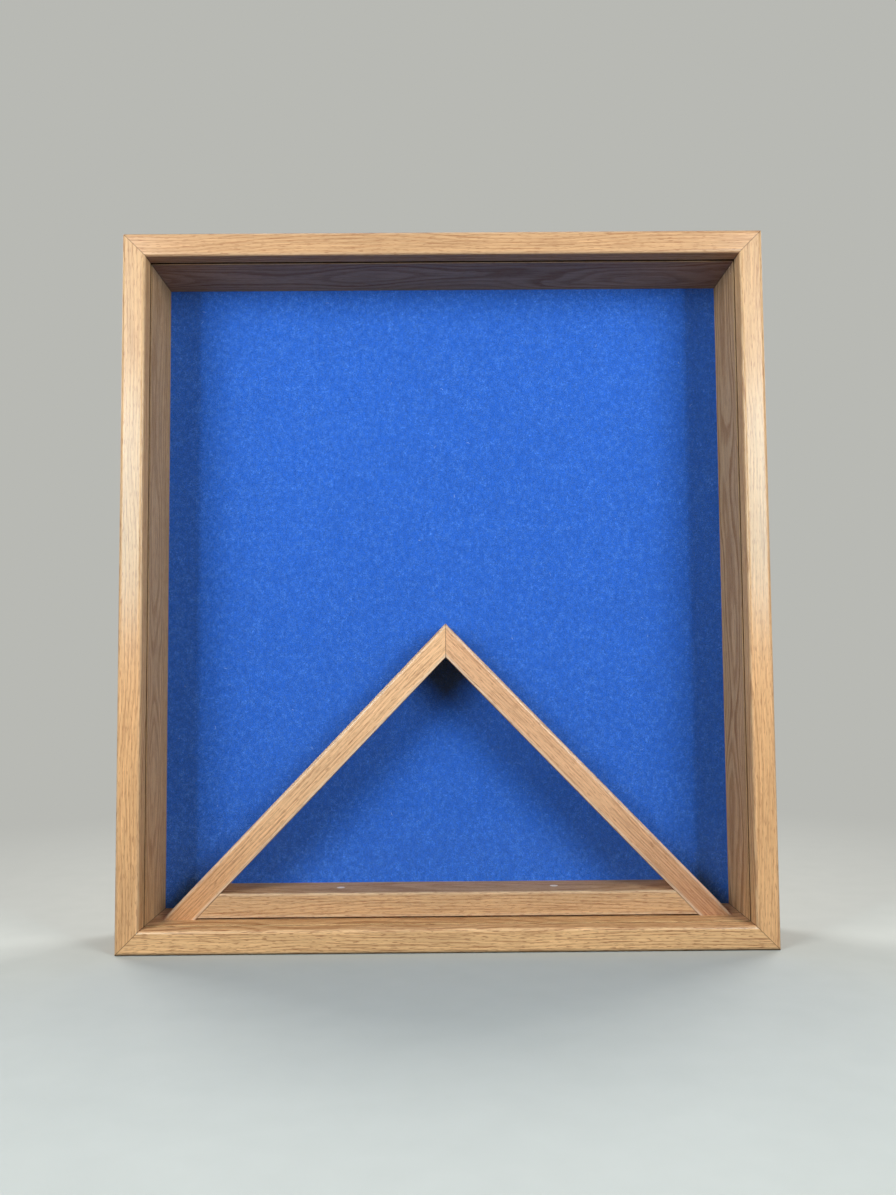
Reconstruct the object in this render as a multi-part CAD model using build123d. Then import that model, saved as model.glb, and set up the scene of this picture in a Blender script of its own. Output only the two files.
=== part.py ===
from build123d import *
from math import asin, cos, degrees, radians, sin, sqrt, tan
import os

# Flag shadow box in millimetres. It stands upright on its bottom rail.
# X runs to the right, Y runs from the glass to the back, Z runs up.
# The origin is the centre of the face that it stands on.

# Case of four mitred boards
case_width = 508.0
case_height = 563.0
board_width = 88.9
board_thickness = 18.5
outer_round = 3.0
inner_round = 2.5
rear_round = 1.0
glue_line = 0.05

# Glass and its groove
glass_thickness = 3.0
groove_width = 4.0
groove_depth = 6.0
groove_setback = 15.5
groove_ease = 0.4
glass_side_gap = 1.0

# Rear rabbet, backing board and felt
rabbet_width = 9.5
panel_thickness = 4.7
felt_thickness = 1.4
panel_side_gap = 0.8
felt_seat_gap = 0.2
felt_trim = 0.5

# Corner biscuits
biscuit_length = 47.0
biscuit_width = 15.0
biscuit_thickness = 4.0
biscuit_from_inside = 10.5
biscuit_gap = 0.2

# Triangle that holds the folded flag
strip_thickness = 19.0
strip_depth = 44.45
strip_slope = 45.9
foot_gap = 8.2
strip_outer_round = 3.0
strip_edge_round = 0.6
base_front_round = 1.6
base_gap = 1.2
strip_felt_gap = 0.3

# Screws and plugs that hold the triangle down
base_screw_spacing = 174.0
base_screw_shank = 3.2
base_screw_head = 5.2
base_screw_head_height = 2.4
base_screw_length = 28.0
plug_diameter = 6.4
plug_length = 6.0
plug_gap = 0.05

# Brads in the triangle's joints
brad_diameter = 1.25
brad_length = 32.0
brad_gap = 0.05
apex_brad_drop = 9.0
foot_brad_height = 27.0
brad_spread = 20.0

# Panel screws
panel_screw_shank = 3.0
panel_screw_head = 6.6
panel_screw_head_height = 2.2
panel_screw_length = 18.0
panel_screw_inset = 4.0
panel_screw_end = 60.0
panel_screws_across = 3
panel_screws_up = 3
shank_gap = 0.1
pilot_gap = 0.3
pilot_spare = 1.0
screw_tip = 4.0

# Cross recess in the screw heads
recess_length = 3.6
recess_width = 0.9
recess_depth = 1.3

# Hangers, a folded strap and a D ring at each side
hanger_height = 410.0
strap_width = 11.0
strap_sheet = 1.0
strap_length = 25.0
strap_neck = 5.0
strap_screw_drop = 17.5
hanger_screw_length = 25.0
ring_wire = 2.0
ring_side_gap = 0.5
ring_leg = 4.0
ring_corner = 1.6
ring_clearance = 0.3
eye_gap = 0.1

# Wall bumpers on the lower rear corners
bumper_diameter = 8.0
bumper_height = 2.5
bumper_round = 1.0
bumper_inset = 5.0

# Places that follow from the sizes
front_y = -board_width / 2
rear_y = board_width / 2
inner_half = case_width / 2 - board_thickness
inner_floor = board_thickness
inner_top = case_height - board_thickness
rabbet_depth = panel_thickness + felt_thickness + felt_seat_gap
felt_front = rear_y - panel_thickness - felt_thickness
panel_front = rear_y - panel_thickness
panel_width = 2 * (inner_half + rabbet_width - panel_side_gap)
panel_height = inner_top - inner_floor + 2 * (rabbet_width - panel_side_gap)
mid_height = case_height / 2
strip_rear = felt_front - felt_seat_gap - strip_felt_gap
strip_front = strip_rear - strip_depth
strip_mid = (strip_front + strip_rear) / 2
slope = radians(strip_slope)
half_base = inner_half - foot_gap
foot_length = strip_thickness / sin(slope)
base_floor = inner_floor + base_gap
base_top = base_floor + strip_thickness
apex_z = inner_floor + half_base * tan(slope)
saw_reach = board_width


def section(depth, thickness, front_outer, front_inner, rear_outer, rear_inner):
    """Cross section with the front at low X, the outer face on Y = 0 and rounded long edges."""
    shape = Rectangle(depth, thickness, align=(Align.CENTER, Align.MIN))
    corners = (
        (-1, -1, front_outer),
        (-1, 1, front_inner),
        (1, -1, rear_outer),
        (1, 1, rear_inner),
    )
    for side, level, radius in corners:
        if radius > 0:
            near = [v for v in shape.vertices() if v.X * side > 0 and (v.Y - thickness / 2) * level > 0]
            corner = max(near, key=lambda v: v.X * side + v.Y * level)
            shape = fillet([corner], radius)
    return shape


def run_through(shape, plane, outline):
    """Run a cross section along a plane's normal and saw it to an outline seen from the front."""
    bar = extrude(plane * shape, amount=case_width + case_height, both=True)
    saw = extrude(Plane.XZ * outline, amount=saw_reach, both=True)
    return bar & saw


def polygon(points):
    """Flat face through the points in order."""
    return make_face(Polyline(*points, close=True))


def biscuit(length, width, thickness):
    """Lens shaped biscuit lying in its local XY plane, centred on the origin."""
    upper = ThreePointArc((-length / 2, 0), (0, width / 2), (length / 2, 0))
    lower = ThreePointArc((length / 2, 0), (0, -width / 2), (-length / 2, 0))
    return extrude(make_face([upper, lower]), amount=thickness / 2, both=True)


def biscuit_planes(length):
    """Planes of the two biscuits at the ends of a board that lies along X on its outer face."""
    shift = board_thickness - biscuit_from_inside / sqrt(2)
    planes = []
    for side in (-1, 1):
        centre = (side * (length / 2 - shift), 0, shift)
        planes.append(Plane(origin=centre, x_dir=(0, 1, 0), z_dir=(-side, 0, 1)))
    return planes


def board(length):
    """Mitred board lying along X on its outer face, with its glass groove and rear rabbet."""
    shape = section(board_width, board_thickness, outer_round, inner_round, rear_round, 0)
    groove_mid = front_y + groove_setback + groove_width / 2
    groove = Rectangle(groove_width, groove_depth, align=(Align.CENTER, Align.MAX))
    half_mouth = groove_width / 2 + groove_ease
    mouth = polygon([(-half_mouth, 0), (half_mouth, 0), (0, -half_mouth)])
    rabbet = Rectangle(rabbet_depth, rabbet_width, align=(Align.MAX, Align.MAX))
    shape -= Pos(groove_mid, board_thickness) * groove
    shape -= Pos(groove_mid, board_thickness) * mouth
    shape -= Pos(rear_y, board_thickness) * rabbet
    end = length / 2 - glue_line * sqrt(2)
    inner_end = end - board_thickness
    outline = polygon([(-end, 0), (end, 0), (inner_end, board_thickness), (-inner_end, board_thickness)])
    solid = run_through(shape, Plane.YZ, outline)
    pocket = biscuit(
        biscuit_length + 2 * biscuit_gap,
        biscuit_width + 2 * biscuit_gap,
        biscuit_thickness + 2 * biscuit_gap,
    )
    for plane in biscuit_planes(length):
        solid -= plane * pocket
    return solid


def corner_biscuits():
    """One biscuit in each mitre."""
    key = biscuit(biscuit_length, biscuit_width, biscuit_thickness)
    low = [plane * key for plane in biscuit_planes(case_width)]
    high = [top_place * (plane * key) for plane in biscuit_planes(case_width)]
    return low + high


def glass_pane():
    """Clear pane that stands on the bottom of the lower groove."""
    lift = groove_depth - glass_side_gap
    width = 2 * (inner_half + lift)
    foot = inner_floor - groove_depth
    height = inner_top + lift - foot
    middle = front_y + groove_setback + groove_width / 2
    pane = Box(width, glass_thickness, height, align=(Align.CENTER, Align.CENTER, Align.MIN))
    return Pos(0, middle, foot) * pane


def turned_screw(head, head_height, shank, length, countersunk):
    """Wood screw whose head sits on Z = 0 if it is domed, or sinks below it, with its tip down."""
    r = shank / 2
    point = [(r, -length + screw_tip), (0, -length)]
    if countersunk:
        rim = Polyline((0, 0), (head / 2, 0), (r, -head_height), *point, (0, 0))
        profile = make_face(rim)
    else:
        ball = (head**2 / 4 + head_height**2) / (2 * head_height)
        turn = asin(head / 2 / ball) / 2
        shoulder = (ball * sin(turn), head_height - ball + ball * cos(turn))
        dome = ThreePointArc((0, head_height), shoulder, (head / 2, 0))
        rest = Polyline((head / 2, 0), (r, 0), *point, (0, head_height))
        profile = make_face([dome, *rest.edges()])
    body = revolve(Plane.XZ * profile, axis=Axis.Z)
    top = 0 if countersunk else head_height
    for turn in (0, 90):
        slot = Box(recess_length, recess_width, 2 * recess_depth)
        body -= Pos(0, 0, top) * Rot(0, 0, turn) * slot
    return body


def right_strip():
    """Right sloping strip of the triangle, mitred at the apex and cut level at its foot."""
    shape = section(
        strip_depth, strip_thickness, strip_outer_round, strip_edge_round, strip_edge_round, strip_edge_round
    )
    tip = (half_base, strip_mid, inner_floor)
    plane = Plane(origin=tip, x_dir=(0, 1, 0), z_dir=(-cos(slope), 0, sin(slope)))
    corners = [
        (half_base, inner_floor),
        (glue_line, apex_z),
        (glue_line, apex_z - strip_thickness / cos(slope)),
        (half_base - foot_length, inner_floor),
    ]
    return run_through(shape, plane, polygon(corners))


def base_strip():
    """Level strip let in between the feet of the sloping strips, a little above the rail."""
    rounds = (strip_edge_round, base_front_round, strip_edge_round, strip_edge_round)
    shape = section(strip_depth, strip_thickness, *rounds)
    plane = Plane(origin=(0, strip_mid, base_floor), x_dir=(0, 1, 0), z_dir=(1, 0, 0))
    low = half_base - foot_length - glue_line / sin(slope) - base_gap / tan(slope)
    high = low - strip_thickness / tan(slope)
    corners = [(-low, base_floor), (low, base_floor), (high, base_top), (-high, base_top)]
    return run_through(shape, plane, polygon(corners))


def base_screw_places():
    """Points on the base strip's upper face where the plugs are."""
    return [Pos(side * base_screw_spacing / 2, strip_mid, base_top) for side in (-1, 1)]


def base_screw():
    """Screw under a plug."""
    screw = turned_screw(
        base_screw_head, base_screw_head_height, base_screw_shank, base_screw_length, True
    )
    return Pos(0, 0, -plug_length) * screw


def base_screw_hole():
    """Plug pocket and screw hole below it."""
    pocket = Cylinder(
        plug_diameter / 2 + plug_gap,
        plug_length,
        align=(Align.CENTER, Align.CENTER, Align.MAX),
    )
    sink = Cone(
        base_screw_shank / 2 + shank_gap,
        base_screw_head / 2 + shank_gap,
        base_screw_head_height,
        align=(Align.CENTER, Align.CENTER, Align.MAX),
    )
    drill = Cylinder(
        base_screw_shank / 2 + shank_gap,
        base_screw_length + shank_gap,
        align=(Align.CENTER, Align.CENTER, Align.MAX),
    )
    return pocket + Pos(0, 0, -plug_length) * sink + Pos(0, 0, -plug_length) * drill


def plug():
    """Flush wooden plug."""
    return Cylinder(plug_diameter / 2, plug_length, align=(Align.CENTER, Align.CENTER, Align.MAX))


def brad_places():
    """Planes on the strips' outer faces whose normal points out, one for each brad."""
    places = []
    for side in (-1, 1):
        out = (side * sin(slope), 0, cos(slope))
        apex_x = side * apex_brad_drop * cos(slope)
        apex_point = (apex_x, strip_mid + side * brad_spread / 2, apex_z - apex_brad_drop * sin(slope))
        places.append(Plane(origin=apex_point, z_dir=out))
        foot_x = side * (half_base - foot_brad_height / tan(slope))
        for shift in (-brad_spread / 2, brad_spread / 2):
            foot_point = (foot_x, strip_mid + shift, inner_floor + foot_brad_height)
            places.append(Plane(origin=foot_point, z_dir=out))
    return places


def brad(gap):
    """Headless brad driven in from Z = 0, or its hole if a gap is given."""
    return Cylinder(
        brad_diameter / 2 + gap,
        brad_length + gap,
        align=(Align.CENTER, Align.CENTER, Align.MAX),
    )


def panel_screw_places():
    """Points on the panel's rear face, with Z pointing out of it."""
    half_w = panel_width / 2 - panel_screw_inset
    half_h = panel_height / 2 - panel_screw_inset
    end_w = panel_width / 2 - panel_screw_end
    end_h = panel_height / 2 - panel_screw_end
    points = []
    for i in range(panel_screws_across):
        x = -end_w + 2 * end_w * i / (panel_screws_across - 1)
        points += [(x, half_h), (x, -half_h)]
    for i in range(panel_screws_up):
        z = -end_h + 2 * end_h * i / (panel_screws_up - 1)
        points += [(half_w, z), (-half_w, z)]
    return [Plane(origin=(x, rear_y, mid_height + z), z_dir=(0, 1, 0)) for x, z in points]


def hanger_places():
    """Pivot places of the two hangers on the panel's rear face, with the side as -1 or 1."""
    x = panel_width / 2 - panel_screw_inset
    return [(side, Pos(side * x, rear_y, hanger_height)) for side in (-1, 1)]


def hanger_screw_places():
    """Points on the straps where the hanger screws sit."""
    lift = 2 * strap_sheet
    seat = Plane(origin=(0, lift, -strap_screw_drop), z_dir=(0, 1, 0)).location
    return [place * seat for side, place in hanger_places()]


def panel_screw(length):
    """Domed screw of the given length."""
    return turned_screw(panel_screw_head, panel_screw_head_height, panel_screw_shank, length, False)


def screw_drill(length, gap):
    """Straight hole for a panel or hanger screw, from its seat down."""
    return Cylinder(panel_screw_shank / 2 + gap, length, align=(Align.CENTER, Align.CENTER, Align.MAX))


def case_boards():
    """The four boards in place, with every hole that is drilled in them."""
    boards = {
        "bottom_rail": board(case_width),
        "top_rail": top_place * board(case_width),
        "left_side": left_place * board(case_height),
        "right_side": right_place * board(case_height),
    }
    pilots = [p * screw_drill(panel_screw_length + pilot_spare, pilot_gap) for p in panel_screw_places()]
    pilots += [p * screw_drill(hanger_screw_length + pilot_spare, pilot_gap) for p in hanger_screw_places()]
    drills = [p * base_screw_hole() for p in base_screw_places()]
    for name in boards:
        boards[name] = boards[name] - pilots
    boards["bottom_rail"] = boards["bottom_rail"] - drills
    return boards


def triangle():
    """The three strips with plug pockets and brad holes."""
    strips = {
        "flag_left_strip": mirror(right_strip(), about=Plane.YZ),
        "flag_right_strip": right_strip(),
        "flag_base_strip": base_strip(),
    }
    nail_holes = [place * brad(brad_gap) for place in brad_places()]
    for name in strips:
        strips[name] = strips[name] - nail_holes
    drills = [p * base_screw_hole() for p in base_screw_places()]
    strips["flag_base_strip"] = strips["flag_base_strip"] - drills
    return strips


def flat_panel(front, rear, width, height):
    """Upright sheet between two depths, drilled for the panel and hanger screws."""
    sheet = Box(width, rear - front, height, align=(Align.CENTER, Align.MIN, Align.CENTER))
    sheet = Pos(0, front, mid_height) * sheet
    holes = [p * screw_drill(panel_screw_length, shank_gap) for p in panel_screw_places()]
    holes += [p * screw_drill(hanger_screw_length, shank_gap) for p in hanger_screw_places()]
    return sheet - holes


def strap():
    """Folded hanger strap with its eye on the X axis line and its flat tail hanging down."""
    bore = ring_wire / 2 + eye_gap
    rim = bore + strap_sheet
    lift = strap_sheet + bore
    half = strap_width / 2
    tail = Rectangle(strap_width, strap_length - half, align=(Align.CENTER, Align.MAX))
    tail += Pos(0, half - strap_length) * Circle(half)
    solid = extrude(Plane.XZ * tail, amount=-2 * strap_sheet)
    neck = polygon([(0, 0), (lift + rim, 0), (2 * strap_sheet, -strap_neck), (0, -strap_neck)])
    solid += extrude(Plane.YZ * neck, amount=half, both=True)
    eye = Pos(0, lift, 0) * Rot(0, 90, 0) * Cylinder(rim, strap_width)
    hole = Pos(0, lift, 0) * Rot(0, 90, 0) * Cylinder(bore, strap_width + rim)
    screw_hole = Plane(origin=(0, 2 * strap_sheet, -strap_screw_drop), z_dir=(0, 1, 0))
    return solid + eye - hole - screw_hole * screw_drill(strap_length, shank_gap)


def ring():
    """D ring whose bar lies on the X axis line, hanging down and resting on the strap's tail."""
    wire_radius = ring_wire / 2
    half = strap_width / 2 + ring_side_gap + wire_radius
    pivot_lift = strap_sheet + wire_radius + eye_gap
    bend = half - ring_corner
    knee = ring_corner * sqrt(0.5)
    edges = [
        Line((-bend, 0), (bend, 0)),
        ThreePointArc((bend, 0), (bend + knee, knee - ring_corner), (half, -ring_corner)),
        Line((half, -ring_corner), (half, -ring_leg)),
        ThreePointArc((half, -ring_leg), (0, -ring_leg - half), (-half, -ring_leg)),
        Line((-half, -ring_leg), (-half, -ring_corner)),
        ThreePointArc((-half, -ring_corner), (-bend - knee, knee - ring_corner), (-bend, 0)),
    ]
    path = Wire([Plane.XZ * edge for edge in edges])
    start = Plane(origin=path @ 0, z_dir=path % 0)
    solid = sweep(start * Circle(wire_radius), path=path)
    reach = ring_leg + sqrt(half**2 - strap_width**2 / 4) - wire_radius
    stand_off = 2 * strap_sheet + wire_radius + ring_clearance - pivot_lift
    lean = degrees(asin(stand_off / reach))
    return Pos(0, pivot_lift, 0) * Rot(lean, 0, 0) * solid


def wall_bumpers():
    """Two round bumpers on the lower rear corners of the case."""
    dome = Cylinder(bumper_diameter / 2, bumper_height, align=(Align.CENTER, Align.CENTER, Align.MIN))
    dome = fillet(dome.edges().sort_by(Axis.Z)[-1], bumper_round)
    pads = []
    for side in (-1, 1):
        spot = (side * (case_width / 2 - bumper_inset), rear_y, bumper_inset)
        pads.append(Plane(origin=spot, z_dir=(0, 1, 0)) * dome)
    return pads


def write(name, shape):
    """Write one node, as a group where it holds several solids."""
    if isinstance(shape, list):
        shape = Compound(shape)
    export_step(shape, f"parts/{name}.step")


top_place = Pos(0, 0, case_height) * Rot(0, 180, 0)
left_place = Pos(-case_width / 2, 0, case_height / 2) * Rot(0, 90, 0)
right_place = Pos(case_width / 2, 0, case_height / 2) * Rot(0, -90, 0)

os.makedirs("parts", exist_ok=True)
for name, solid in case_boards().items():
    write(name, solid)
write("corner_biscuits", corner_biscuits())
write("glass_pane", glass_pane())
for name, solid in triangle().items():
    write(name, solid)
write("flag_base_screws", [p * base_screw() for p in base_screw_places()])
write("flag_base_plugs", [p * plug() for p in base_screw_places()])
write("flag_frame_brads", [p * brad(0) for p in brad_places()])
write("backing_board", flat_panel(panel_front, rear_y, panel_width, panel_height))
write(
    "felt_lining",
    flat_panel(felt_front, panel_front, panel_width - 2 * felt_trim, panel_height - 2 * felt_trim),
)
write("panel_screws", [p * panel_screw(panel_screw_length) for p in panel_screw_places()])
write("hanger_screws", [p * panel_screw(hanger_screw_length) for p in hanger_screw_places()])
for side, place in hanger_places():
    word = "left" if side < 0 else "right"
    write(f"{word}_hanger_strap", place * strap())
    write(f"{word}_hanger_ring", place * ring())
write("wall_bumpers", wall_bumpers())
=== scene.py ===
import math
import random

import bmesh
import bpy
from mathutils import Euler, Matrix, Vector, noise


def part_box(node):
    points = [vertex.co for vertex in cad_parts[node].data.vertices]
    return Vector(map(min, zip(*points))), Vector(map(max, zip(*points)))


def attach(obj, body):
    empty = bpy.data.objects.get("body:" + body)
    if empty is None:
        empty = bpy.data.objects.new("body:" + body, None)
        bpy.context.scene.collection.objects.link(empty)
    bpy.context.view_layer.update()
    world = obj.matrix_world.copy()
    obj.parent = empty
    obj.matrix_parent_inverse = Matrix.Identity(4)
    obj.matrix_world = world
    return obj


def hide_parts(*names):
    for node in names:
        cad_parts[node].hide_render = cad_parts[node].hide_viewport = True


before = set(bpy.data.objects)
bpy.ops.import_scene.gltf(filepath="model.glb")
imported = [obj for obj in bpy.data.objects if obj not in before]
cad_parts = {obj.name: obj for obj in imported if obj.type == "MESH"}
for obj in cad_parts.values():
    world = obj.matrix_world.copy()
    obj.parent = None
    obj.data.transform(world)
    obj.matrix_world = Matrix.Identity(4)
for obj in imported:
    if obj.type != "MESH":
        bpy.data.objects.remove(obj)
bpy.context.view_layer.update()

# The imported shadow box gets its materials, its felt, a studio and the photograph's camera.
# All lengths are metres in the part's frame: X right, Y from the glass to the back, Z up.

MM = 0.001

# Sizes read from the frame, and three that the solids were built with
case_low, case_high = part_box("bottom_rail")
case_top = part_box("top_rail")[1].z
half_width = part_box("right_side")[1].x
base_low, base_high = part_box("flag_base_strip")
felt_low, felt_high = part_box("felt_lining")
glass_low, glass_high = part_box("glass_pane")
panel_low, panel_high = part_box("backing_board")
board_thickness = case_high.z - case_low.z
board_half = ((case_high.y - case_low.y) / 2 / MM, board_thickness / 2 / MM)
strip_half = ((base_high.y - base_low.y) / 2 / MM, (base_high.z - base_low.z) / 2 / MM)
strip_slope = math.radians(45.9)
groove_side = 0.5 * MM
groove_ease = 0.4 * MM

# Camera of the photograph
camera_place = (-0.00158, -0.89239, 0.21489)
camera_turn = (93.812, 0.448, -0.218)
camera_lens = 32.97
sensor_width = 36.0
clip_near = 0.01
clip_far = 50.0

# Oak, in mm: the growth rings' width and wander, and how far apart along the trunk the boards lie
ring_width = 2.3
ring_wander = (9.0, 11.0)
ring_waver = 0.6
board_apart = 1370.0
# A glued joint's dark line from its core to its end, how dark it is, and the width of the painted
# highlight along the long edges
joint_line = (0.12, 0.45)
joint_dark = 0.55
edge_highlight_width = (1.0, 3.0)

# Glass: the share it mirrors square on, how fast that grows, and how much of a lamp it throws on
glass_mirror = 0.007
glass_growth = 4.0
glass_throw = 0.4

# Felt sheet: its grid, how far its face lies behind the solid's, how uneven and how much thinner
felt_step = 3.0 * MM
felt_behind = 0.16 * MM
felt_uneven = 0.14 * MM
felt_spare = 0.35 * MM

# Lint on the felt: how many fibres, how thick, how long in mm, how bent, how deep, and where
lint_count = 46
lint_radius = 0.11 * MM
lint_length = (0.8, 3.2)
lint_bend = 0.5
lint_sunk = 0.05 * MM
lint_side = 0.226
lint_heights = (0.060, 0.535)

# Floor: its radius, and the distances between which it turns into the backdrop
floor_radius = 12.0
floor_fade = (0.32, 0.95)

# Colours, as linear light
late_wood = (0.665, 0.405, 0.198)
early_wood = (0.455, 0.235, 0.098)
pore_wood = (0.230, 0.062, 0.018)
# Painted highlight for the long edges of the oak
edge_highlight_wood = (0.840, 0.680, 0.530)
glue_wood = (0.110, 0.050, 0.022)
# Painted shade for the glass groove
groove_shade_wood = (0.050, 0.024, 0.012)
felt_base = (0.023, 0.120, 0.560)
felt_shade = (0.016, 0.092, 0.460)
felt_tuft = (0.088, 0.250, 0.800)
felt_sheen = (0.450, 0.600, 1.000)
lint_blue = (0.260, 0.420, 0.780)
lint_pale = (0.580, 0.700, 0.900)
birch_pale = (0.880, 0.730, 0.580)
birch_dark = (0.760, 0.590, 0.440)
beech_pale = (0.520, 0.340, 0.200)
beech_dark = (0.420, 0.250, 0.140)
veneer_pale = (0.590, 0.400, 0.235)
veneer_dark = (0.470, 0.290, 0.150)
veneer_fleck = (0.300, 0.160, 0.075)
ply_core = (0.200, 0.110, 0.055)
zinc_dark = (0.440, 0.438, 0.430)
zinc_light = (0.540, 0.540, 0.532)
rubber_dark = (0.022, 0.022, 0.023)
rubber_dusty = (0.045, 0.044, 0.042)
glass_clear = (0.985, 0.992, 0.988)
backdrop = (0.480, 0.485, 0.455)
floor_bounce = (0.012, 0.012, 0.012)
sky = (0.950, 0.980, 1.000)


class Nodes:
    """One material's nodes, with short calls for the kinds used here."""

    def __init__(self, name):
        self.material = bpy.data.materials.new(name)
        self.material.use_nodes = True
        self.tree = self.material.node_tree
        self.tree.nodes.clear()
        self.output = self.tree.nodes.new("ShaderNodeOutputMaterial")

    def feed(self, socket, value):
        """Links a socket, or gives it a plain value."""
        if isinstance(value, bpy.types.NodeSocket):
            self.tree.links.new(value, socket)
        elif isinstance(socket, bpy.types.NodeSocketColor) and len(value) == 3:
            socket.default_value = (*value, 1.0)
        else:
            socket.default_value = value

    def place(self):
        """The place on the object, in metres."""
        return self.add("ShaderNodeTexCoord").outputs["Object"]

    def add(self, kind, *values, **settings):
        """A node of this kind. The values go to its first inputs in order."""
        node = self.tree.nodes.new(kind)
        for key, value in settings.items():
            setattr(node, key, value)
        for socket, value in zip(node.inputs, values):
            self.feed(socket, value)
        return node

    def math(self, operation, *values):
        return self.add("ShaderNodeMath", *values, operation=operation).outputs[0]

    def vector(self, operation, *values):
        return self.add("ShaderNodeVectorMath", *values, operation=operation)

    def dot(self, first, second):
        return self.vector("DOT_PRODUCT", first, second).outputs["Value"]

    def combine(self, x, y, z):
        return self.add("ShaderNodeCombineXYZ", x, y, z).outputs[0]

    def noise(self, vector, scale=1.0, detail=2.0, roughness=0.5, distortion=0.0):
        """Noise from 0 to 1 in space."""
        node = self.add("ShaderNodeTexNoise")
        node.inputs["Vector"].default_value = (0, 0, 0)
        self.feed(node.inputs["Vector"], vector)
        node.inputs["Scale"].default_value = scale
        node.inputs["Detail"].default_value = detail
        node.inputs["Roughness"].default_value = roughness
        node.inputs["Distortion"].default_value = distortion
        return node.outputs[0]

    def spread(self, value, low, high, new_low=0.0, new_high=1.0, smooth=False):
        """A value's range mapped onto another and held within it."""
        node = self.add("ShaderNodeMapRange", value, low, high, new_low, new_high)
        node.interpolation_type = "SMOOTHSTEP" if smooth else "LINEAR"
        return node.outputs[0]

    def mix(self, share, first, second, blend="MIX"):
        """A colour between two, or their product."""
        node = self.add("ShaderNodeMix", data_type="RGBA", blend_type=blend)
        self.feed(node.inputs[0], share)
        self.feed(node.inputs[6], first)
        self.feed(node.inputs[7], second)
        return node.outputs[2]

    def shade(self, colour, tone):
        """A colour made lighter or darker by a number."""
        return self.mix(1.0, colour, self.combine(tone, tone, tone), "MULTIPLY")

    def shader(self, colour, roughness, **plain):
        """The Principled shader. Its plain values are set on its own sockets."""
        node = self.add("ShaderNodeBsdfPrincipled")
        self.feed(node.inputs["Base Color"], colour)
        self.feed(node.inputs["Roughness"], roughness)
        for key, value in plain.items():
            self.feed(node.inputs[key.replace("_", " ").title().replace("Ior", "IOR")], value)
        self.tree.links.new(node.outputs[0], self.output.inputs["Surface"])
        return node

    def bump(self, shader, height, distance, strength=1.0):
        """Relief of this height, where 1 is the distance."""
        node = self.add("ShaderNodeBump")
        node.inputs["Strength"].default_value = strength
        node.inputs["Distance"].default_value = distance
        self.feed(node.inputs["Height"], height)
        self.feed(shader.inputs["Normal"], node.outputs[0])


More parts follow.
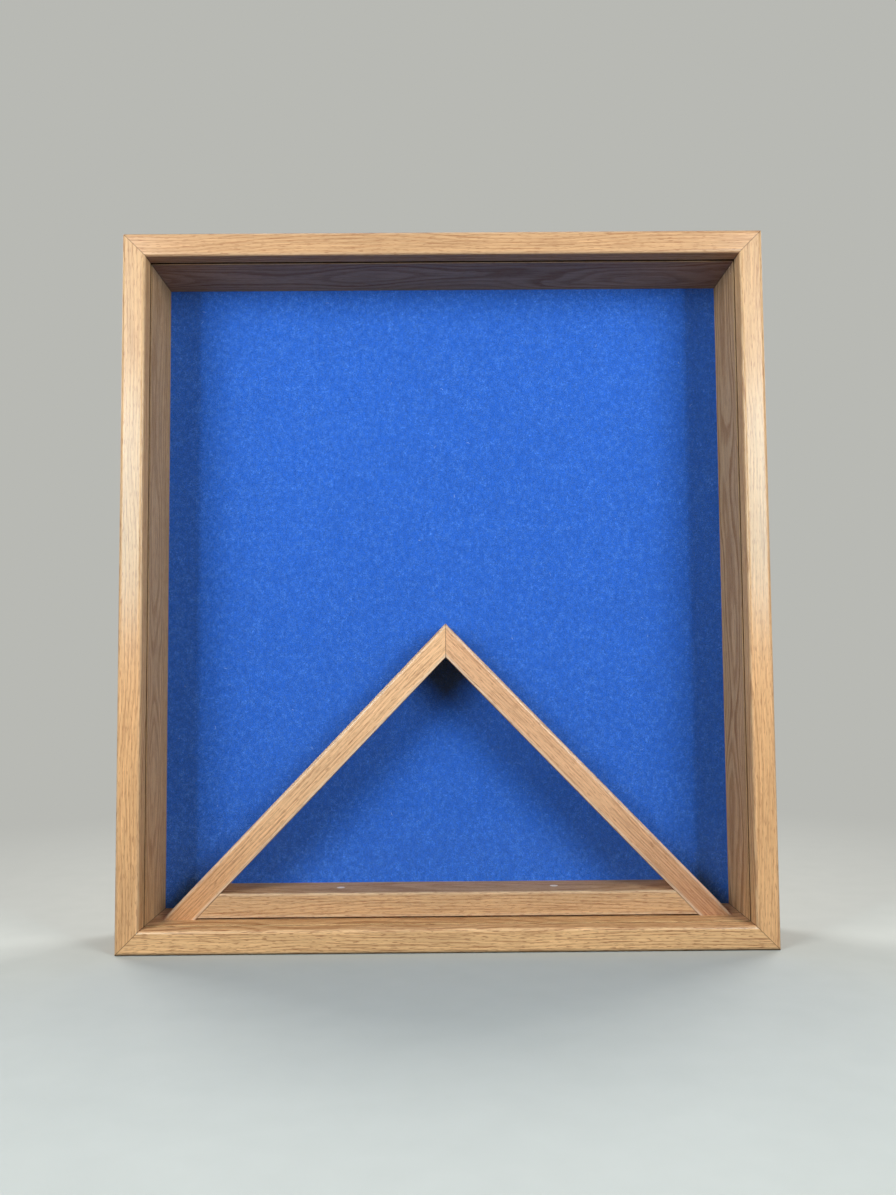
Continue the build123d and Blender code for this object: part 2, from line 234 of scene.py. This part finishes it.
def oak(
    name, grain, across, middle, half, pith, joint, seed, pores, edge_highlight_strength, tint, wide_tone_and_light, low, dark=0
):
    """Light oak under a thin varnish, cut as a solid: growth rings round a pith that lies
    pith[0] mm behind the board and pith[1] mm beside its middle, with pores along the grain.
    half gives the half depth and half thickness in mm, for the long edges that get a painted
    highlight.
    joint gives the distance in mm to a glued joint, which shows as a fine dark line.
    pores gives the strength of the dark pores, and the argument after it the strength of a painted
    highlight along the long edges. tint is the board's share of red, green and blue, partly its
    own colour and partly painted light and shade. The argument after tint makes the wide faces
    lighter or darker beside the narrow ones: partly the wood's tone, partly painted light and
    shade. low, where a board has it, gives the two heights between which the narrow faces change
    downwards, and their share at the foot. dark is the strength of a painted shade inside the
    glass groove."""
    n = Nodes(name)
    through = Vector(grain).cross(Vector(across))
    place = n.place()
    local = n.vector("SUBTRACT", place, middle).outputs[0]
    mm = n.vector("SCALE", local)
    mm.inputs["Scale"].default_value = 1 / MM
    mm = mm.outputs[0]
    along = n.math("ADD", n.dot(mm, grain), seed * board_apart)
    side = n.dot(mm, across)
    depth = n.dot(mm, through)

    def stretched(length, width):
        """The place in units of this length along the grain and this width across it."""
        return n.combine(
            n.math("DIVIDE", along, length),
            n.math("DIVIDE", side, width),
            n.math("DIVIDE", depth, width),
        )

    def strokes(length, width, more, low, high):
        """Short dark lines along the grain, thicker where more is high."""
        field = n.noise(stretched(length, width), detail=1.0)
        field = n.math("ADD", field, n.math("MULTIPLY", early, more))
        return n.spread(field, low, high, 0, 1, True)

    slow_depth = n.noise(stretched(170.0, 60.0), detail=1.0)
    slow_side = n.noise(stretched(240.0, 85.0), detail=1.0)
    wavy = n.noise(stretched(26.0, 7.0), detail=2.0)
    drift_side = n.spread(slow_side, 0, 1, -ring_wander[0], ring_wander[0])
    drift_depth = n.spread(slow_depth, 0, 1, -ring_wander[1], ring_wander[1])
    ring_side = n.math("ADD", n.math("SUBTRACT", side, pith[1]), drift_side)
    ring_depth = n.math("ADD", n.math("ADD", depth, pith[0]), drift_depth)
    squares = n.math("ADD", n.math("POWER", ring_side, 2.0), n.math("POWER", ring_depth, 2.0))
    waver = n.spread(wavy, 0, 1, -ring_waver, ring_waver)
    radius = n.math("ADD", n.math("SQRT", squares), waver)
    rings = n.math("DIVIDE", radius, ring_width)
    phase = n.math("FRACT", rings)
    each = n.add("ShaderNodeTexWhiteNoise", noise_dimensions="1D")
    n.feed(each.inputs["W"], n.math("FLOOR", rings))
    start = n.spread(phase, 0.0, 0.16, 0, 1, True)
    early = n.math("SUBTRACT", start, n.spread(phase, 0.3, 0.75, 0, 1, True))
    early = n.math("MULTIPLY", early, n.spread(each.outputs["Value"], 0, 1, 0.3, 1.0))

    streak = n.noise(stretched(75.0, 1.3), detail=3.0, roughness=0.6)
    fibre = n.noise(stretched(11.0, 0.8), detail=2.0)
    cloud = n.noise(stretched(120.0, 26.0), detail=2.0)
    pore = strokes(7.0, 0.60, 0.06, 0.58, 0.66)
    long_pore = strokes(34.0, 0.75, 0.08, 0.58, 0.67)

    normal = n.add("ShaderNodeTexCoord").outputs["Normal"]
    wide = n.spread(n.math("ABSOLUTE", n.dot(normal, through)), 0.6, 0.8)
    share = n.math("MULTIPLY", early, n.spread(wide, 0, 1, 0.42, 1.0))
    colour = n.mix(share, late_wood, early_wood)
    contrast = n.spread(wide, 0, 1, 0.62, 0.92)
    tone = n.math("ADD", 0.98, n.math("MULTIPLY", n.math("SUBTRACT", streak, 0.5), contrast))
    tone = n.math("MULTIPLY", tone, n.spread(fibre, 0.2, 0.8, 0.92, 1.08))
    tone = n.math("MULTIPLY", tone, n.spread(cloud, 0.25, 0.75, 0.93, 1.07))
    # Wide faces lighter or darker than the narrow ones: partly the wood's tone, partly painted
    # light and shade, with the top rail darker as if its underside were in shade
    tone = n.math("MULTIPLY", tone, n.spread(wide, 0, 1, 1.0, wide_tone_and_light))
    # Each board's tint: partly its own colour, partly painted light and shade
    tinted = [n.math("MULTIPLY", tone, part) for part in tint]
    colour = n.mix(1.0, colour, n.combine(*tinted), "MULTIPLY")
    # Narrow faces changing towards the foot: lighter on the stiles, which is painted light, and
    # darker on the sloping strips
    if low:
        down, up, low_tint = low
        lower = n.spread(n.dot(place, (0.0, 0.0, 1.0)), down, up, 1, 0, True)
        lower = n.math("MULTIPLY", lower, n.spread(wide, 0, 1, 1, 0))
        colour = n.mix(lower, colour, n.mix(1.0, colour, low_tint, "MULTIPLY"))
    from_side = n.math("SUBTRACT", half[0], n.math("ABSOLUTE", side))
    from_face = n.math("SUBTRACT", half[1], n.math("ABSOLUTE", depth))
    edge = n.math("ADD", n.math("POWER", from_side, 2.0), n.math("POWER", from_face, 2.0))
    edge = n.math("ADD", n.math("SQRT", edge), n.spread(wavy, 0, 1, -0.25, 0.25))
    # Painted highlight: a pale band along the long edges, uneven along the grain
    edge_highlight = n.spread(edge, *edge_highlight_width, 1, 0, True)
    edge_highlight = n.math("MULTIPLY", edge_highlight, n.spread(streak, 0.3, 0.7, 0.5, 1.1))
    colour = n.mix(n.math("MULTIPLY", edge_highlight, edge_highlight_strength), colour, edge_highlight_wood)
    colour = n.mix(n.math("MULTIPLY", pore, pores), colour, pore_wood)
    colour = n.mix(n.math("MULTIPLY", long_pore, 0.75 * pores), colour, pore_wood)
    if joint:
        line = n.spread(n.math("ABSOLUTE", joint(n, place)), *joint_line, 1, 0, True)
        colour = n.mix(n.math("MULTIPLY", line, joint_dark), colour, glue_wood)
    # Painted shade inside the glass groove, set per board: strongest in the top rail, which faces
    # down into shade, weakest in the bottom rail
    if dark:
        colour = n.mix(n.math("MULTIPLY", groove(n, place), dark), colour, groove_shade_wood)
    dip = n.math("MAXIMUM", pore, long_pore)
    roughness = n.math("ADD", n.spread(streak, 0, 1, 0.44, 0.54), n.math("MULTIPLY", dip, 0.10))
    roughness = n.math("ADD", roughness, n.math("MULTIPLY", wide, 0.16))
    varnish = n.spread(wide, 0, 1, 0.70, 0.06)
    gloss = {"coat_weight": varnish, "coat_roughness": 0.22, "coat_ior": 1.45}
    shader = n.shader(colour, roughness, specular_ior_level=0.04, **gloss)
    height = n.math("SUBTRACT", n.math("MULTIPLY", fibre, 0.25), dip)
    n.bump(shader, height, 0.06 * MM, 0.8)
    return n.material


def mitre(n, place):
    """Distance in mm from a corner's mitre, the same for all four boards."""
    x, y, z = n.add("ShaderNodeSeparateXYZ", place).outputs
    from_side = n.math("SUBTRACT", half_width, n.math("ABSOLUTE", x))
    from_end = n.math("MINIMUM", z, n.math("SUBTRACT", case_top, z))
    return n.math("MULTIPLY", n.math("SUBTRACT", from_side, from_end), math.sqrt(0.5) / MM)


def groove(n, place):
    """1 inside the glass groove of any board, and 0 elsewhere."""
    x, y, z = n.add("ShaderNodeSeparateXYZ", place).outputs
    from_side = n.math("SUBTRACT", half_width, n.math("ABSOLUTE", x))
    from_end = n.math("MINIMUM", z, n.math("SUBTRACT", case_top, z))
    deep = n.math("MINIMUM", from_side, from_end)
    under = n.math("LESS_THAN", deep, board_thickness - 0.1 * MM)
    above = n.math("GREATER_THAN", deep, board_thickness / 2)
    behind = n.math("GREATER_THAN", y, glass_low.y - groove_side - groove_ease)
    before = n.math("LESS_THAN", y, glass_high.y + groove_side + 0.05 * MM)
    return n.math("MULTIPLY", n.math("MULTIPLY", under, above), n.math("MULTIPLY", behind, before))


def apex(n, place):
    """Distance in mm from the joint at the triangle's top."""
    return n.math("MULTIPLY", n.add("ShaderNodeSeparateXYZ", place).outputs["X"], 1 / MM)


def foot(n, place):
    """Distance in mm from the sloping joint at an end of the base strip."""
    parts = n.add("ShaderNodeSeparateXYZ", place).outputs
    beside = n.math("SUBTRACT", n.math("ABSOLUTE", parts["X"]), base_high.x)
    above = n.math("SUBTRACT", parts["Z"], base_low.z)
    slanted = n.math(
        "ADD",
        n.math("MULTIPLY", beside, math.sin(strip_slope)),
        n.math("MULTIPLY", above, math.cos(strip_slope)),
    )
    return n.math("MULTIPLY", slanted, 1 / MM)


def felt_material():
    """Pressed craft felt: curled fibres at two scales, with a soft nap."""
    n = Nodes("felt")
    place = n.place()

    def curls(scale, seed, width, twist):
        """Thin curly lines, where a twisted noise crosses its middle."""
        moved = n.vector("ADD", place, (seed, seed * 0.37, seed * 0.71)).outputs[0]
        field = n.noise(moved, scale, 1.5, 0.55, twist)
        off = n.math("ABSOLUTE", n.math("SUBTRACT", field, 0.5))
        return n.spread(off, 0.0, width, 1, 0, True)

    coarse = curls(175.0, 0.0, 0.042, 2.5)
    middle = curls(320.0, 3.1, 0.060, 2.0)
    upright = n.vector("MULTIPLY", place, (1.0, 1.0, 0.65)).outputs[0]
    patches = n.noise(place, 55.0, 2.0, 0.6)
    broad = n.noise(place, 11.0, 2.0, 0.5)
    tufts = n.noise(upright, 430.0, 3.0, 0.7)
    grain = n.noise(place, 780.0, 2.0, 0.6)
    pieces = n.noise(place, 230.0, 1.0)
    matted = n.spread(patches, 0.35, 0.65, 0.6, 1.0)
    where = n.math("MULTIPLY", matted, n.spread(pieces, 0.42, 0.56, 0.1, 1.0, True))
    light = n.math("MULTIPLY", n.math("MAXIMUM", coarse, n.math("MULTIPLY", middle, 0.8)), where)
    tone = n.spread(patches, 0.25, 0.75, 0.97, 1.03)
    tone = n.math("MULTIPLY", tone, n.spread(broad, 0.3, 0.7, 0.98, 1.02))
    tone = n.math("MULTIPLY", tone, n.spread(tufts, 0.30, 0.70, 0.90, 1.10))
    tone = n.math("MULTIPLY", tone, n.spread(grain, 0.30, 0.70, 0.76, 1.24))
    colour = n.mix(n.spread(tufts, 0.35, 0.60, 0.25, 0.0), felt_base, felt_shade)
    colour = n.mix(n.math("MULTIPLY", light, 0.85), colour, felt_tuft)
    colour = n.shade(colour, tone)
    nap = {"sheen_weight": 0.05, "sheen_roughness": 0.5, "sheen_tint": felt_sheen}
    shader = n.shader(colour, 0.95, specular_ior_level=0.1, **nap)
    height = n.math("ADD", n.math("MULTIPLY", light, 0.6), n.math("MULTIPLY", tufts, 0.6))
    n.bump(shader, height, 0.40 * MM, 0.7)
    return n.material


def glass_material():
    """Clean picture glass: it lets lamps through and mirrors more the flatter it is seen."""
    n = Nodes("glass")
    place = n.place()
    clear = n.add("ShaderNodeBsdfTransparent", glass_clear)
    gloss = n.add("ShaderNodeBsdfGlossy")
    seen = n.math("MAXIMUM", n.add("ShaderNodeLightPath").outputs["Is Camera Ray"], glass_throw)
    n.tree.links.new(seen, gloss.inputs["Color"])
    smears = n.noise(place, 16.0, 3.0)
    n.feed(gloss.inputs["Roughness"], n.spread(smears, 0.4, 0.7, 0.012, 0.040))
    n.bump(gloss, n.noise(place, 22.0, 1.0), 0.02 * MM)
    slant = n.math("POWER", n.add("ShaderNodeLayerWeight").outputs["Facing"], glass_growth)
    share = n.spread(slant, 0, 1, glass_mirror, 1.0)
    both = n.add("ShaderNodeMixShader", share, clear.outputs[0], gloss.outputs[0])
    n.tree.links.new(both.outputs[0], n.output.inputs["Surface"])
    return n.material


def plywood_material():
    """Thin birch plywood: flat pale veneer on both faces and three plies at the edges."""
    n = Nodes("plywood")
    place = n.place()
    mm = n.vector("SCALE", place)
    mm.inputs["Scale"].default_value = 1 / MM
    x, y, z = n.add("ShaderNodeSeparateXYZ", mm.outputs[0]).outputs

    def veneer(width, length, detail=2.0):
        """Noise in patches of this width and length in mm, drawn out along the veneer's grain."""
        drawn = n.combine(n.math("DIVIDE", x, width), 0.0, n.math("DIVIDE", z, length))
        return n.noise(drawn, 1.0, detail)

    wave = veneer(110.0, 380.0)
    rings = n.math("ADD", n.math("DIVIDE", x, 42.0), n.math("MULTIPLY", wave, 11.0))
    phase = n.math("FRACT", rings)
    vein = n.spread(phase, 0.0, 0.7, 0, 1, True)
    vein = n.math("SUBTRACT", vein, n.spread(phase, 0.86, 1.0, 0, 1, True))
    fibre = veneer(0.5, 16.0, 3.0)
    streak = veneer(2.2, 130.0, 3.0)
    fleck = n.spread(veneer(0.9, 9.0, 1.0), 0.70, 0.76, 0, 1, True)
    cloud = veneer(40.0, 90.0)
    colour = n.mix(n.math("MULTIPLY", vein, 0.5), veneer_pale, veneer_dark)
    colour = n.mix(n.math("MULTIPLY", fleck, 0.5), colour, veneer_fleck)
    tone = n.spread(fibre, 0.2, 0.8, 0.86, 1.14)
    tone = n.math("MULTIPLY", tone, n.spread(cloud, 0.2, 0.8, 0.94, 1.06))
    tone = n.math("MULTIPLY", tone, n.spread(streak, 0.2, 0.8, 0.88, 1.12))
    colour = n.shade(colour, tone)
    middle = (panel_low.y + panel_high.y) / 2 / MM
    from_middle = n.math("ABSOLUTE", n.math("SUBTRACT", y, middle))
    core = n.spread(from_middle, 0.75, 0.95, 1.0, 0.0)
    normal = n.add("ShaderNodeNewGeometry").outputs["True Normal"]
    facing = n.math("ABSOLUTE", n.dot(normal, (0.0, 1.0, 0.0)))
    edge = n.math("MULTIPLY", core, n.math("LESS_THAN", facing, 0.5))
    colour = n.mix(n.math("MULTIPLY", edge, 0.5), colour, ply_core)
    shader = n.shader(colour, n.spread(fibre, 0.0, 1.0, 0.55, 0.72))
    n.bump(shader, fibre, 0.05 * MM, 0.6)
    return n.material


def zinc_material():
    """Bright zinc plate with fine mottling and brushed wear."""
    n = Nodes("zinc")
    place = n.place()
    cloud = n.noise(place, 420.0, 3.0)
    scratch = n.noise(n.vector("MULTIPLY", place, (900.0, 900.0, 140.0)).outputs[0], 1.0, 2.0)
    colour = n.mix(n.spread(cloud, 0.35, 0.65), zinc_dark, zinc_light)
    brushed = n.spread(scratch, 0.3, 0.7, -0.05, 0.05)
    roughness = n.math("ADD", n.spread(cloud, 0.3, 0.7, 0.26, 0.42), brushed)
    shader = n.shader(colour, roughness, metallic=1.0)
    n.bump(shader, scratch, 0.02 * MM, 0.5)
    return n.material


def rubber_material():
    """Dull dark rubber with a fine grain."""
    n = Nodes("rubber")
    place = n.place()
    grain = n.noise(place, 1400.0, 3.0)
    dust = n.noise(place, 160.0, 2.0)
    colour = n.mix(n.spread(dust, 0.4, 0.7), rubber_dark, rubber_dusty)
    shader = n.shader(colour, n.spread(grain, 0.2, 0.8, 0.62, 0.80))
    n.bump(shader, grain, 0.04 * MM, 0.7)
    return n.material


def pale_wood(name, base, dark):
    """Close-grained pale wood for the plugs and the biscuits."""
    n = Nodes(name)
    place = n.place()
    fibre = n.noise(n.vector("MULTIPLY", place, (150.0, 1600.0, 1600.0)).outputs[0], 1.0, 3.0)
    fleck = n.noise(n.vector("MULTIPLY", place, (400.0, 1400.0, 1400.0)).outputs[0], 1.0, 1.0)
    colour = n.mix(n.spread(fibre, 0.3, 0.7), base, dark)
    colour = n.mix(n.spread(fleck, 0.62, 0.70, 0.0, 0.5), colour, dark)
    roughness = n.spread(fibre, 0.2, 0.8, 0.45, 0.6)
    shader = n.shader(colour, roughness, coat_weight=0.2, coat_roughness=0.3)
    n.bump(shader, fibre, 0.03 * MM, 0.6)
    return n.material


def put(name, data):
    """A new object in the scene."""
    made = bpy.data.objects.new(name, data)
    bpy.context.scene.collection.objects.link(made)
    return made


def dress(material, *names):
    """Gives CAD nodes this material in every slot."""
    for name in names:
        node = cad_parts[name]
        for one in node.material_slots:
            one.material = material


def middle_of(name):
    low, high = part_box(name)
    return (low + high) / 2


def dress_wood():
    """Each board is its own piece of oak, with its grain along its length."""
    right, back, up = (1, 0, 0), (0, 1, 0), (0, 0, 1)
    down_right = (math.cos(strip_slope), 0, -math.sin(strip_slope))
    up_right = (math.cos(strip_slope), 0, math.sin(strip_slope))

    # Each board's share of red, green and blue: partly its own colour and partly painted light and
    # shade, lighter on the sloping strips and the bottom rail, which get less lamp light
    russet = (1.25, 1.18, 1.14)
    umber = (1.02, 0.96, 1.00)
    amber = (0.93, 0.87, 0.90)
    pale = (0.94, 0.92, 0.92)
    straw = (1.46, 1.34, 1.48)
    wheat = (1.34, 1.17, 1.31)

    # The lower and upper height between which narrow faces change, and their share at the foot.
    # The stiles' narrow faces get lighter towards the foot, which is painted light; the sloping
    # strips' get darker towards the foot
    side_foot_light = (0.20, 0.33, (1.24, 1.13, 1.07))
    left_low = (0.02, 0.13, (0.75, 0.66, 0.56))
    right_low = (0.02, 0.13, (0.62, 0.56, 0.52))

    # Name, grain, pith, pores, painted edge highlight, tint (partly painted light), tone of the
    # wide faces (partly painted light and shade), change, painted shade in the groove
    boards = (
        ("top_rail", right, (64, 8), 0.38, 0.12, amber, 0.82, None, 0.92),
        ("bottom_rail", right, (70, -14), 0.56, 0.12, russet, 0.90, None, 0.35),
        ("left_side", up, (58, -4), 0.36, 0.12, pale, 1.06, side_foot_light, 0.65),
        ("right_side", up, (74, 12), 0.36, 0.12, pale, 1.10, side_foot_light, 0.65),
    )

    # The same, with the joint and the side that the strip leans to after the pith
    strips = (
        ("flag_left_strip", up_right, (90, 20), apex, 1, 0.40, 0.48, straw, 0.80, left_low),
        ("flag_right_strip", down_right, (95, -18), apex, -1, 0.40, 0.48, wheat, 0.86, right_low),
        ("flag_base_strip", right, (80, 10), foot, 0, 0.50, 0.25, umber, 0.80, None),
    )
    for seed, (name, grain, pith, *looks) in enumerate(boards, 1):
        middle = middle_of(name)
        dress(oak("oak_" + name, grain, back, middle, board_half, pith, mitre, seed, *looks), name)
    for seed, (name, grain, pith, joint, lean, *looks) in enumerate(strips, 5):
        inward = Vector((lean * math.sin(strip_slope), 0, -math.cos(strip_slope)))
        middle = middle_of(name) + inward * abs(lean) * strip_half[1] * MM
        dress(oak("oak_" + name, grain, back, middle, strip_half, pith, joint, seed, *looks), name)
    dress(pale_wood("birch", birch_pale, birch_dark), "flag_base_plugs")
    dress(pale_wood("beech", beech_pale, beech_dark), "corner_biscuits")


def make_felt():
    """The felt is its own sheet: a fine grid, slightly uneven, as thick as the real cloth."""
    thickness = felt_high.y - felt_low.y
    width = felt_high.x - felt_low.x
    height = felt_high.z - felt_low.z
    columns = round(width / felt_step)
    rows = round(height / felt_step)
    mesh = bpy.data.meshes.new("felt_cloth")
    made = bmesh.new()
    grid = []
    for row in range(rows + 1):
        line = []
        for column in range(columns + 1):
            x = felt_low.x + width * column / columns
            z = felt_low.z + height * row / rows
            uneven = noise.fractal(Vector((x, 0, z)) * 28.0, 0.8, 2.0, 3)
            y = felt_low.y + felt_behind + felt_uneven * uneven
            line.append(made.verts.new((x, max(y, felt_low.y), z)))
        grid.append(line)
    for row in range(rows):
        for column in range(columns):
            a, b = grid[row][column], grid[row][column + 1]
            c, d = grid[row + 1][column + 1], grid[row + 1][column]
            made.faces.new((a, b, c, d))
    made.to_mesh(mesh)
    made.free()
    cloth = put("felt_cloth", mesh)
    for face in mesh.polygons:
        face.use_smooth = True
    solid = cloth.modifiers.new("thickness", "SOLIDIFY")
    solid.thickness = thickness - felt_spare
    solid.offset = -1.0
    mesh.materials.append(felt_material())
    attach(cloth, "back")
    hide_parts("felt_lining")
    return cloth


def make_lint():
    """A few pale fibres caught on the felt, as in the photograph."""
    seeded = random.Random(11)
    curve = bpy.data.curves.new("felt_lint", "CURVE")
    curve.dimensions = "3D"
    curve.bevel_depth = lint_radius
    curve.bevel_resolution = 1
    for _ in range(lint_count):
        x = seeded.uniform(-lint_side, lint_side)
        z = seeded.uniform(*lint_heights)
        turn = seeded.uniform(0, math.pi)
        length = seeded.uniform(*lint_length) * MM
        spline = curve.splines.new("NURBS")
        spline.points.add(3)
        bend = seeded.uniform(-lint_bend, lint_bend)
        for index, point in enumerate(spline.points):
            share = index / 3 - 0.5
            angle = turn + bend * share * 2
            px = x + math.cos(angle) * length * share
            pz = z + math.sin(angle) * length * share
            point.co = (px, felt_low.y + lint_sunk, pz, 1.0)
        spline.order_u = 3
        spline.use_endpoint_u = True
    lint = put("felt_lint", curve)
    n = Nodes("lint")
    place = n.place()
    shade = n.noise(place, 60.0, 1.0)
    colour = n.mix(n.spread(shade, 0.4, 0.6), lint_blue, lint_pale)
    shader = n.shader(colour, n.spread(shade, 0.3, 0.7, 0.8, 0.95))
    n.bump(shader, n.noise(place, 900.0, 1.0), 0.02 * MM, 0.5)
    curve.materials.append(n.material)
    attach(lint, "back")
    return lint


def make_floor():
    """A pale seamless floor: it keeps the object's shadow, and fades into the backdrop."""
    mesh = bpy.data.meshes.new("studio_floor")
    made = bmesh.new()
    bmesh.ops.create_circle(made, cap_ends=True, segments=96, radius=floor_radius)
    made.to_mesh(mesh)
    made.free()
    floor = put("studio_floor", mesh)
    n = Nodes("studio_floor")
    place = n.place()
    away = n.vector("LENGTH", place).outputs["Value"]
    far = n.spread(away, *floor_fade, 0, 1, True)
    path = n.add("ShaderNodeLightPath")
    seen = n.math("MAXIMUM", path.outputs["Is Camera Ray"], path.outputs["Is Glossy Ray"])
    seen = n.math("MAXIMUM", seen, path.outputs["Is Transmission Ray"])
    speck = n.noise(place, 35.0, 3.0)
    pale = n.mix(n.spread(speck, 0.3, 0.7), backdrop, tuple(0.97 * part for part in backdrop))
    near_shade = n.add("ShaderNodeBsdfDiffuse", pale)
    far_shade = n.add("ShaderNodeEmission", backdrop, 1.0)
    dim = n.add("ShaderNodeBsdfDiffuse", floor_bounce)
    shown = n.add("ShaderNodeMixShader", far, near_shade.outputs[0], far_shade.outputs[0])
    both = n.add("ShaderNodeMixShader", seen, dim.outputs[0], shown.outputs[0])
    n.tree.links.new(both.outputs[0], n.output.inputs["Surface"])
    mesh.materials.append(n.material)


def make_world():
    """A faint even light all round. The backdrop's colour shows to the camera and in gloss."""
    world = bpy.data.worlds.new("studio")
    bpy.context.scene.world = world
    world.use_nodes = True
    nodes = world.node_tree.nodes
    links = world.node_tree.links
    nodes.clear()
    output = nodes.new("ShaderNodeOutputWorld")
    path = nodes.new("ShaderNodeLightPath")
    seen = path.outputs["Is Camera Ray"]
    for kind in ("Is Glossy Ray", "Is Transmission Ray"):
        either = nodes.new("ShaderNodeMath")
        either.operation = "MAXIMUM"
        links.new(seen, either.inputs[0])
        links.new(path.outputs[kind], either.inputs[1])
        seen = either.outputs[0]
    ambient = nodes.new("ShaderNodeBackground")
    ambient.inputs["Color"].default_value = (*sky, 1.0)
    ambient.inputs["Strength"].default_value = world_strength
    pale = nodes.new("ShaderNodeBackground")
    pale.inputs["Color"].default_value = (*backdrop, 1.0)
    both = nodes.new("ShaderNodeMixShader")
    links.new(seen, both.inputs[0])
    links.new(ambient.outputs[0], both.inputs[1])
    links.new(pale.outputs[0], both.inputs[2])
    links.new(both.outputs[0], output.inputs["Surface"])


# Soft lamps, each at both sides of the case, and one over it for its top and back.
# Each has its name, place, width, height, watts and colour.
world_strength = 0.004
lamp_aim = Vector((0, 0, 0.3))
white = (1.0, 1.0, 1.0)
cool = (0.56, 0.89, 1.0)
lamp_pairs = (
    ("key", (0.70, -0.95, 0.66), 0.25, 0.35, 4.0, white),
    ("near", (0.50, -0.60, 0.66), 0.20, 0.30, 1.3, white),
    ("side", (0.70, -0.60, 0.40), 0.25, 0.22, 1.4, white),
    ("high", (0.50, -0.60, 0.95), 0.25, 0.25, 0.35, white),
    ("sheen", (0.53, -0.95, 0.48), 0.05, 0.38, 2.6, cool),
    ("back", (1.50, 1.50, 1.30), 1.20, 1.00, 40.0, white),
)
top_lamp = ("over", (0, 0.5, 1.7), 0.8, 0.5, 6.0, white)


def make_lamp(name, place, width, height, watts, colour):
    data = bpy.data.lights.new(name, "AREA")
    data.shape = "RECTANGLE"
    data.size = width
    data.size_y = height
    data.energy = watts
    data.color = colour
    lamp = put(name, data)
    lamp.location = place
    lamp.rotation_euler = (Vector(place) - lamp_aim).to_track_quat("Z", "Y").to_euler()


def make_lamps():
    for name, (x, y, z), *rest in lamp_pairs:
        make_lamp(name + "_left", (-x, y, z), *rest)
        make_lamp(name + "_right", (x, y, z), *rest)
    make_lamp(*top_lamp)


def make_camera():
    data = bpy.data.cameras.new("camera")
    data.lens = camera_lens
    data.sensor_width = sensor_width
    data.clip_start = clip_near
    data.clip_end = clip_far
    camera = put("camera", data)
    camera.location = camera_place
    camera.rotation_euler = Euler([math.radians(angle) for angle in camera_turn])
    bpy.context.scene.camera = camera


dress_wood()
dress(glass_material(), "glass_pane")
dress(plywood_material(), "backing_board")
zinc = zinc_material()
dress(zinc, "flag_base_screws", "flag_frame_brads", "panel_screws", "hanger_screws")
dress(zinc, "left_hanger_strap", "right_hanger_strap", "left_hanger_ring", "right_hanger_ring")
dress(rubber_material(), "wall_bumpers")
cloth = make_felt()
lint = make_lint()
make_floor()
make_world()
make_lamps()
make_camera()
bpy.context.scene.view_settings.view_transform = "Standard"
